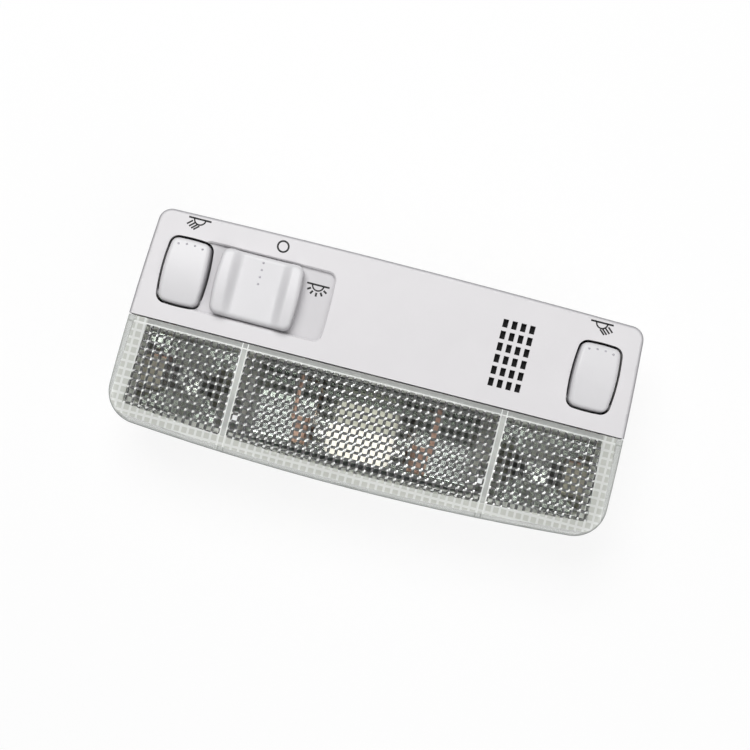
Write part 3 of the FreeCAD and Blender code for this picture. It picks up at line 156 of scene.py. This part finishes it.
def moulded(name, look):
    # Moulded plastic: two close tones mixed by soft noise and a fine grain in the normal. Walls get painted
    # shade, a darker tone by steepness. On the panel the sunk floors get painted shade too, and a painted
    # shade line follows the rounded outer edge.
    g = Graph(name)
    soft = g.noise(look["mottle"], detail=3.0)
    grain = g.noise(look["grain"])
    tone = g.mix(soft, look["dark"], look["light"])
    # Painted shade: walls, and on the panel the sunk floors and the rounded outer edge, mix toward a darker
    # tone
    if "edge" in look:
        steep = g.steepness()
        shade = steep * look["edge"]
        if "line" in look:
            x, y, z = g.split(g.coords)
            outer = abs(x).above(look["lineX"]).larger(y.above(look["lineY"]))
            shade = shade.larger(z.below(look["deepZ"]) * look["deep"])
            shade = shade.larger(hump(steep) * outer * look["line"])
        tone = g.mix(shade, tone, look["edgeTone"])
    rough = look["rough"] + (soft - 0.5) * gloss["plastic"]
    return g.set(Base_Color=tone, Roughness=rough, Normal=g.bump(grain, look["bump"], gloss["grain"]))


def metal(name, look):
    # Plated or polished metal with faint smears in its gloss
    g = Graph(name)
    smear = g.noise(look["smear"], detail=4.0)
    tone = g.mix(smear, look["dark"], look["light"])
    rough = look["rough"] + (smear - 0.5) * look["spread"]
    return g.set(Base_Color=tone, Metallic=1.0, Roughness=rough)


def clear(name, look):
    # Clear or frosted glass with a trace of haze, and an emission that paints light on the frosted bulb glass
    # though the bulb is off
    g = Graph(name)
    haze = g.noise(look["haze"])
    tone = g.mix(haze, look["dark"], look["light"])
    rough = look["rough"] + haze * gloss["haze"]
    return g.set(Base_Color=tone, Transmission_Weight=look["through"], IOR=look["ior"], Roughness=rough,
                 Emission_Color=tone, Emission_Strength=look["paintedGlow"])


def fromLine(value):
    # Distance from the nearest grid line, in pitches, from -0.5 to 0.5
    return (value + 0.5).math("FRACT") - 0.5


def clearLens(name, look):
    # Clear moulding, milkier in its border, along its lip at the seam and on the strips before the dividers.
    # The milky lip is painted light over the shade of the gap behind it, and the border's milkiness is partly
    # the plastic's own and partly painted light that its prisms would catch.
    g = Graph(name)
    haze = g.noise(look["haze"])
    g.set(Base_Color=g.mix(haze, look["dark"], look["light"]), Transmission_Weight=1.0, IOR=look["ior"],
          Roughness=look["rough"] + haze * gloss["haze"])
    x, y, z = g.split(g.coords)
    away = abs(abs(x) - look["stripX"])
    strip, lip = away.below(look["stripHalf"]), y.above(look["lipY"])
    lines = away.below(look["stripEdge"]) - strip
    lines = lines.larger(y.above(look["lipY"] - look["lipEdge"]) - lip)

    # The border follows the leaning ends and the bowed front, and its outermost part has no grid
    end, front = abs(x) + y * look["lean"], y - x * x * look["curve"]
    border = end.above(look["borderX"]).larger(front.below(look["borderY"]))
    plain = end.above(look["plainX"]).larger(front.below(look["plainY"]))

    # Painted highlights: glints are painted where the grooves cross, and in the border whole grooves are
    # painted pale
    middle = abs(x).below(look["stripX"])
    step = middle * ((abs(x) - look["innerX"]) / look["innerPitch"])
    step = step + (1.0 - middle) * ((abs(x) - look["outerX"]) / look["outerPitch"])
    across, along = fromLine(step), fromLine((y - look["rowY"]) / look["rowPitch"])
    dot = (across * across + along * along).below(look["dot"]) * (1.0 - border)
    grid = abs(across).below(look["gridHalf"]).larger(abs(along).below(look["gridHalf"]))
    dot = dot.larger(grid * border * (1.0 - plain)) * z.above(look["faceZ"])

    share = border * (1.0 - plain * look["plainClear"]) * look["soft"]
    share = share.larger(strip.larger(lip) * look["milk"]).larger(lines * look["line"])
    share = share.larger(dot * (1.0 - strip) * look["paintedGlint"])
    share = share * (look["thin"] + haze * look["patchy"])

    # Walls stay mostly clear. What milkiness is left on them, a line along the rounded edge and half of the
    # plain outer strip take a darker tone: painted shade.
    steep = g.steepness()
    rim = steep.above(look["rimFrom"]) * border
    rounded = hump(steep).above(look["roundFrom"]) * border
    share = (share * (1.0 - rim * look["clearRim"])).larger(rounded * look["outline"])
    # Painted highlights, the milky lip and the strips take the whitest tone, the rest of the border a softer
    # one
    tone = g.mix(dot.larger(1.0 - border), look["softTone"], look["milkyAndHighlightTone"])
    tone = g.mix(rim.larger(plain * look["plainShade"]), tone, look["paintedRimShadeTone"])
    milky = g.node("ShaderNodeBsdfPrincipled", {"Base Color": tone, "Roughness": gloss["milky"]})
    g.blend(share, Sock(g, g.shader.outputs[0]), milky)
    return g.material


# Painted shade: edge darkens the walls of panel and keys; on the panel, line darkens the rounded outer edge
# and deep the sunk floors
panelLook = {"dark": rgb(223, 221, 223), "light": rgb(230, 228, 230), "mottle": 60.0, "grain": 4200.0,
             "bump": 0.25, "rough": 0.52, "edge": 0.35, "edgeTone": rgb(146, 145, 149),
             "line": 0.95, "lineX": 94.5 * mm, "lineY": 43.5 * mm, "deepZ": 39.3 * mm, "deep": 0.24}
keyLook = {"dark": rgb(221, 220, 222), "light": rgb(227, 226, 228), "mottle": 80.0, "grain": 5200.0,
           "bump": 0.12, "rough": 0.42, "edge": 0.4, "edgeTone": rgb(176, 175, 180)}
whiteLook = {"dark": rgb(242, 242, 234), "light": rgb(249, 249, 243), "mottle": 40.0, "grain": 3000.0,
             "bump": 0.1, "rough": 0.5}
creamLook = {"dark": rgb(188, 182, 164), "light": rgb(206, 200, 182), "mottle": 60.0, "grain": 3000.0,
             "bump": 0.1, "rough": 0.5}
blackLook = {"dark": rgb(22, 22, 24), "light": rgb(32, 32, 34), "mottle": 60.0, "grain": 3500.0,
             "bump": 0.2, "rough": 0.5}
inkLook = {"dark": rgb(8, 8, 9), "light": rgb(16, 16, 18), "mottle": 400.0, "grain": 6000.0,
           "bump": 0.1, "rough": 0.55}
dotLook = {"dark": rgb(176, 174, 180), "light": rgb(190, 188, 194), "mottle": 400.0, "grain": 6000.0,
           "bump": 0.1, "rough": 0.5}
boardLook = {"dark": rgb(24, 84, 46), "light": rgb(32, 98, 56), "mottle": 90.0, "grain": 2500.0,
             "bump": 0.1, "rough": 0.4}
foamLook = {"dark": rgb(10, 10, 11), "light": rgb(26, 26, 28), "mottle": 900.0, "grain": 1500.0,
            "bump": 0.8, "rough": 0.9}
mirrorLook = {"dark": rgb(186, 190, 185), "light": rgb(222, 225, 220), "smear": 90.0,
              "rough": 0.12, "spread": 0.1}
copperLook = {"dark": rgb(142, 104, 86), "light": rgb(206, 176, 158), "smear": 320.0,
              "rough": 0.3, "spread": 0.2}
nickelLook = {"dark": rgb(204, 202, 196), "light": rgb(226, 224, 218), "smear": 160.0,
              "rough": 0.2, "spread": 0.1}
steelLook = {"dark": rgb(160, 160, 158), "light": rgb(188, 188, 186), "smear": 200.0,
             "rough": 0.3, "spread": 0.15}
wireLook = {"dark": rgb(96, 94, 92), "light": rgb(120, 118, 116), "smear": 300.0,
            "rough": 0.4, "spread": 0.1}
lensLook = {"dark": (0.965, 0.98, 0.975, 1.0), "light": (0.985, 0.995, 0.99, 1.0), "haze": 30.0,
            "ior": 1.47, "rough": 0.02, "thin": 0.8, "patchy": 0.4,
            "stripX": 53.4 * mm, "stripHalf": 0.9 * mm, "stripEdge": 1.35 * mm,
            "lipY": -2.2 * mm, "lipEdge": 0.5 * mm, "milk": 0.36, "line": 0.8,
            "milkyAndHighlightTone": rgb(249, 251, 248),
            "borderX": 93.6 * mm, "borderY": -39.8 * mm, "lean": 0.055, "curve": 0.5, "soft": 0.66,
            "softTone": rgb(223, 225, 218), "gridHalf": 0.15,
            "plainX": 98.9 * mm, "plainY": -44.0 * mm, "plainClear": 0.45, "plainShade": 0.5,
            "innerX": 52.0 * mm, "innerPitch": 3.1515 * mm, "outerX": 54.8 * mm, "outerPitch": 3.07 * mm,
            "rowY": -41.4 * mm, "rowPitch": 3.229 * mm, "dot": 0.022, "paintedGlint": 0.7, "faceZ": 38.8 * mm,
            "rimFrom": 0.25, "paintedRimShadeTone": rgb(150, 156, 153), "clearRim": 0.7,
            "roundFrom": 0.6, "outline": 0.75}
bulbLook = {"dark": (0.97, 0.97, 0.96, 1.0), "light": (1.0, 1.0, 0.99, 1.0), "haze": 30.0, "ior": 1.2,
            "rough": 0.0, "through": 1.0, "paintedGlow": 0.0}
# The frosted bulb glass carries painted light: its emission lights it though the bulb is off
frostLook = {"dark": rgb(246, 241, 231), "light": rgb(252, 249, 242), "haze": 200.0, "ior": 1.3,
             "rough": 0.3, "through": 0.05, "paintedGlow": 0.7}

finish = {
    "panel": moulded("panelPlastic", panelLook),
    "key": moulded("keyPlastic", keyLook),
    "white": moulded("whitePlastic", whiteLook),
    "cream": moulded("creamPlastic", creamLook),
    "black": moulded("blackPlastic", blackLook),
    "ink": moulded("printedInk", inkLook),
    "dot": moulded("markDots", dotLook),
    "board": moulded("boardMask", boardLook),
    "foam": moulded("blackFoam", foamLook),
    "mirror": metal("metallised", mirrorLook),
    "copper": metal("copperStrip", copperLook),
    "nickel": metal("nickelPlate", nickelLook),
    "steel": metal("zincSteel", steelLook),
    "wire": metal("tungstenWire", wireLook),
    "lens": clearLens("clearLens", lensLook),
    "bulb": clear("bulbGlass", bulbLook),
    "frost": clear("frostedGlass", frostLook),
}

# Which finish each CAD node wears, by the words in its name
wears = [
    ("reading_filament", "wire"), ("bulb_filament", "wire"), ("bulb_glass", "frost"),
    ("bulb_caps", "nickel"), ("reading_bulb", "bulb"), ("bulb_socket", "cream"),
    ("socket_strips", "copper"), ("dome_contact", "copper"), ("reflector", "mirror"),
    ("front_cover", "panel"), ("lens", "lens"), ("rear_housing", "white"),
    ("button", "key"), ("dome_slider", "key"), ("carriage", "black"), ("wiper", "copper"),
    ("plunger", "white"), ("switch", "black"), ("foam", "foam"), ("boot", "foam"), ("capsule", "steel"),
    ("circuit_board", "board"), ("connector_socket", "black"), ("connector_pins", "copper"),
    ("screws", "steel"),
]
for name, obj in nodes.items():
    chosen = next(f for word, f in wears if word in name)
    obj.data.materials.clear()
    obj.data.materials.append(finish[chosen])
print("finishes on", len(nodes), "nodes")


def addPiece(name, verts, faces, material, body, smooth=True):
    # Points in millimetres become a mesh in metres that rides on a body
    mesh = bpy.data.meshes.new(name)
    mesh.from_pydata((np.asarray(verts) * mm).tolist(), [], np.asarray(faces).tolist())
    if smooth:
        mesh.shade_smooth()
    mesh.materials.append(material)
    obj = bpy.data.objects.new(name, mesh)
    bpy.context.scene.collection.objects.link(obj)
    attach(obj, body)
    return obj


def joined(parts):
    # Several meshes as one: each one's face numbers shift by the points before it
    counts = np.cumsum([0] + [len(v) for v, f in parts[:-1]])
    return (np.concatenate([v for v, f in parts]),
            np.concatenate([f + n for (v, f), n in zip(parts, counts)]))


def ringFaces(rings, count):
    # Quads between neighbouring rings of points, each ring closed on itself
    r, c = np.meshgrid(np.arange(rings - 1), np.arange(count), indexing="ij")
    a, b = r * count + c, r * count + (c + 1) % count
    return np.stack([a, b, b + count, a + count], -1).reshape(-1, 4)


def ringLid(first, count):
    # Quads across a ring of points, each from one side of the ring to the other
    i = np.arange(count // 2 - 1)
    return first + np.stack([i, i + 1, count - 2 - i, count - 1 - i], 1)


def closedFaces(rings, count):
    # A closed skin: the rings' walls, with a lid on the first ring and one on the last
    return np.concatenate([ringFaces(rings, count), ringLid(0, count)[:, ::-1],
                           ringLid((rings - 1) * count, count)])


# Slider knob: rings of a rounded rectangle climb its wall, turn over a quarter-round edge and close on
# the middle. The top is a finger valley that rises over a smooth step to a ridge at each end, and the
# ridges fall away along Y on a circle. The sides bow out by a square law along Y.
knob = {"centre": (-54.506, 21.5), "half": (17.2, 13.5), "corner": 3.0, "edge": 1.9, "bow": 0.9,
        "foot": 38.5, "ridge": 45.6, "valley": 42.4, "stepFrom": 7.9, "stepTo": 12.6, "crown": 60.0,
        "turns": 48, "rounds": 10, "inner": 56, "hub": 0.02, "tip": 0.004}


def knobRing(drawIn, share):
    # Corner arcs and straight sides of the plan, drawn in, then shrunk to a share of their size
    r = knob["corner"] - drawIn
    half = np.array(knob["half"]) - drawIn - r
    turn = np.linspace(0, np.pi / 2, knob["turns"] // 2)
    sides = []
    for quarter, (sx, sy) in enumerate(((1, 1), (-1, 1), (-1, -1), (1, -1))):
        angle = turn + quarter * np.pi / 2
        sides.append(np.stack([sx * half[0] + r * np.cos(angle), sy * half[1] + r * np.sin(angle)], 1))
    step = np.linspace(0, 1, knob["turns"] + 1)[1:-1, None]
    legs = []
    for here, ahead in zip(sides, sides[1:] + sides[:1]):
        legs += [here, here[-1] + (ahead[0] - here[-1]) * step]
    plan = np.concatenate(legs) * share
    plan[:, 0] *= 1 - knob["bow"] / knob["half"][0] * (plan[:, 1] / knob["half"][1]) ** 2
    return plan


def knobTop(plan):
    # Height over the plan: the valley, a step of 3t^2 - 2t^3, and the circle of the ridges
    t = np.clip((np.abs(plan[:, 0]) - knob["stepFrom"]) / (knob["stepTo"] - knob["stepFrom"]), 0, 1)
    crest = knob["ridge"] - knob["crown"] + np.sqrt(knob["crown"] ** 2 - plan[:, 1] ** 2)
    return knob["valley"] + (crest - knob["valley"]) * t * t * (3 - 2 * t)


def knobLayer(plan, z):
    # A ring of the plan, moved to the knob's place and lifted to its height
    return np.column_stack([plan + knob["centre"], np.broadcast_to(z, len(plan))])


rings = [knobLayer(knobRing(0, knob["hub"]), knob["foot"]), knobLayer(knobRing(0, 1), knob["foot"])]
for angle in np.linspace(0, np.pi / 2, knob["rounds"]):
    plan = knobRing(knob["edge"] * (1 - np.cos(angle)), 1)
    rings.append(knobLayer(plan, knobTop(plan) - knob["edge"] * (1 - np.sin(angle))))
for share in np.linspace(1, knob["tip"], knob["inner"])[1:]:
    plan = knobRing(knob["edge"], share)
    rings.append(knobLayer(plan, knobTop(plan)))
faces = closedFaces(len(rings), len(rings[0]))
knobPiece = addPiece("slider_knob", np.concatenate(rings), faces, finish["key"], "slider")
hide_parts("dome_slider")
print("slider knob", len(faces), "faces")

# Mark dots: a bowed row on each button and a column on the slider
dots = {"radius": 0.5, "rise": 0.36, "sunk": 0.08, "spokes": 20, "rings": 6, "pitch": 3.3, "crown": 52.0,
        "buttonX": 84.406, "buttonY": 21.2, "top": 43.2, "rowY": 32.2, "arch": 0.6, "count": 4, "close": 0.98,
        "column": (32.4, 29.5, 26.6, 23.7)}


def cap(x, y, z):
    # A low dome: rings of points that shrink with the cosine of the climb as they rise with its sine
    climb = np.linspace(0, np.pi / 2 * dots["close"], dots["rings"])
    turn = np.linspace(0, 2 * np.pi, dots["spokes"], endpoint=False)
    c, t = np.meshgrid(climb, turn, indexing="ij")
    reach = dots["radius"] * np.cos(c)
    height = z - dots["sunk"] + dots["rise"] * np.sin(c)
    shape = np.stack([x + reach * np.cos(t), y + reach * np.sin(t), height], -1)
    return shape.reshape(-1, 3), closedFaces(dots["rings"], dots["spokes"])


for side, name in ((-1, "left"), (1, "right")):
    caps = []
    for off in np.arange(dots["count"]) - (dots["count"] - 1) / 2:
        y = dots["rowY"] - (dots["arch"] if abs(off) > 1 else 0)
        z = dots["top"] - dots["crown"] + math.sqrt(dots["crown"] ** 2 - (y - dots["buttonY"]) ** 2)
        caps.append(cap(side * dots["buttonX"] + off * dots["pitch"], y, z))
    addPiece(name + "_button_dots", *joined(caps), finish["dot"], name + "_button")
caps = [cap(knob["centre"][0], y, knob["valley"]) for y in dots["column"]]
addPiece("slider_dots", *joined(caps), finish["dot"], "slider")
print("mark dots on three keys")

# Printed symbols: three lamp signs and a ring, made of thin strips that follow lines and arcs
symbols = {"line": 0.74, "arc": 0.6, "ray": 0.66, "openRay": 0.8, "lift": 0.03, "thick": 0.05,
           "face": 40.0, "floor": 38.2, "bar": 4.65, "dome": 2.3, "off": (-48.8, 41.0), "offR": 2.2,
           "reading": {-1: (-83.7, 43.3), 1: (82.3, 43.1)}, "open": (-31.4, 29.6),
           "domeSteps": 48, "ringSteps": 73,
           "rayFrom": 3.1, "rayTo": 4.7, "rayAngles": (212, 239, 270, 301, 328), "slant": (-2.05, -1.85),
           "starts": ((-2.75, -1.1), (-1.7, -1.8), (-0.7, -2.4), (0.3, -2.75))}


def ribbon(points, width, z):
    # A ring of four corners carried along the path: half the width to either side, on two levels
    p = np.asarray(points, float)
    along = np.gradient(p, axis=0)
    along /= np.linalg.norm(along, axis=1, keepdims=True)
    side = np.stack([-along[:, 1], along[:, 0]], 1) * width / 2
    plan = np.stack([p + side, p - side, p - side, p + side], 1)
    level = np.broadcast_to(np.array([z, z, z - symbols["thick"], z - symbols["thick"]]), plan.shape[:2])
    return np.concatenate([plan, level[..., None]], 2).reshape(-1, 3), closedFaces(len(p), 4)


def arc(centre, radius, start, end, steps):
    # Evenly spaced points on a circle, from one angle to another in degrees
    turn = np.radians(np.linspace(start, end, steps))
    return np.stack([centre[0] + radius * np.cos(turn), centre[1] + radius * np.sin(turn)], 1)


def lampSign(at, z, rays, rayWidth):
    # A bar with a half circle hanging from it, and rays below
    x, y = at
    made = [ribbon([(x - symbols["bar"], y), (x + symbols["bar"], y)], symbols["line"], z),
            ribbon(arc(at, symbols["dome"], 180, 360, symbols["domeSteps"]), symbols["arc"], z)]
    return made + [ribbon([(x + a, y + b), (x + c, y + d)], rayWidth, z) for a, b, c, d in rays]


z = symbols["face"] + symbols["lift"]
runX, runY = symbols["slant"]
parts = []
for side in (-1, 1):
    slant = [(-side * a, b, -side * (a + runX), b + runY) for a, b in symbols["starts"]]
    parts += lampSign(symbols["reading"][side], z, slant, symbols["ray"])
ring = arc(symbols["off"], symbols["offR"], 0, 360, symbols["ringSteps"])
parts.append(ribbon(ring, symbols["line"], z))
near, far = symbols["rayFrom"], symbols["rayTo"]
spread = [(near * math.cos(a), near * math.sin(a), far * math.cos(a), far * math.sin(a))
          for a in np.radians(symbols["rayAngles"])]
parts += lampSign(symbols["open"], symbols["floor"] + symbols["lift"], spread, symbols["openRay"])
addPiece("printed_symbols", *joined(parts), finish["ink"], "lamp", smooth=False)
print("printed symbols", len(parts), "strokes")

# Floor, light and camera. Camera, mirror and glass rays see mostly white paper, and other rays a pale floor.
paper = {"half": 30.0, "tone": rgb(254, 254, 254), "dark": rgb(252, 252, 252), "mottle": 3.0, "rough": 0.9,
         "white": 0.87}
half = paper["half"]
mesh = bpy.data.meshes.new("floor")
corners = [(-half, -half, 0), (half, -half, 0), (half, half, 0), (-half, half, 0)]
mesh.from_pydata(corners, [], [(0, 1, 2, 3)])
floor = bpy.data.objects.new("floor", mesh)
bpy.context.scene.collection.objects.link(floor)
g = Graph("floorPaper")
g.set(Base_Color=g.mix(g.noise(paper["mottle"]), paper["dark"], paper["tone"]), Roughness=paper["rough"])
rays = ("Is Camera Ray", "Is Glossy Ray", "Is Transmission Ray")
byCamera, byGloss, byGlass = [g.node("ShaderNodeLightPath", {}, out=ray) for ray in rays]
white = g.node("ShaderNodeEmission", {"Color": (1.0, 1.0, 1.0, 1.0), "Strength": 1.0})
g.blend(byCamera.larger(byGloss).larger(byGlass) * paper["white"], Sock(g, g.shader.outputs[0]), white)
mesh.materials.append(g.material)

studio = {"tone": (1.0, 1.0, 1.0, 1.0), "level": 0.12}
world = bpy.data.worlds.new("studio")
bpy.context.scene.world = world
world.use_nodes = True
sky = world.node_tree.nodes["Background"]
sky.inputs["Color"].default_value = studio["tone"]
sky.inputs["Strength"].default_value = studio["level"]

lamps = [
    {"name": "keyLight", "at": (-0.3, 0.55, 1.1), "size": 0.8, "power": 12.7},
    {"name": "fillLight", "at": (0.6, -0.5, 0.9), "size": 0.9, "power": 4.6},
]
for spec in lamps:
    data = bpy.data.lights.new(spec["name"], "AREA")
    data.size, data.energy = spec["size"], spec["power"]
    lamp = bpy.data.objects.new(spec["name"], data)
    lamp.location = spec["at"]
    lamp.rotation_euler = (-Vector(spec["at"])).to_track_quat("-Z", "Y").to_euler()
    bpy.context.scene.collection.objects.link(lamp)

# The camera looks down at the face, tipped and rolled a little, and takes in a set width at its target
shot = {"target": (-0.00043, 0.0003, 0.040), "distance": 0.62, "tilt": 3.0, "roll": 14.43, "across": 0.2988,
        "sensor": 36.0}
roll, tilt = math.radians(shot["roll"]), math.radians(shot["tilt"])
up = Vector((-math.sin(roll), math.cos(roll), 0))
back = Vector((math.sin(roll) * math.sin(tilt), -math.cos(roll) * math.sin(tilt), math.cos(tilt)))
right = up.cross(back).normalized()
upright = back.cross(right)
place = Vector(shot["target"]) + back * shot["distance"]
cameraData = bpy.data.cameras.new("camera")
cameraData.sensor_width = shot["sensor"]
cameraData.lens = shot["sensor"] * shot["distance"] / shot["across"]
camera = bpy.data.objects.new("camera", cameraData)
camera.matrix_world = Matrix((
    (right.x, upright.x, back.x, place.x),
    (right.y, upright.y, back.y, place.y),
    (right.z, upright.z, back.z, place.z),
    (0, 0, 0, 1)))
bpy.context.scene.collection.objects.link(camera)
bpy.context.scene.camera = camera
bpy.context.scene.view_settings.view_transform = "Standard"
print("stage set")
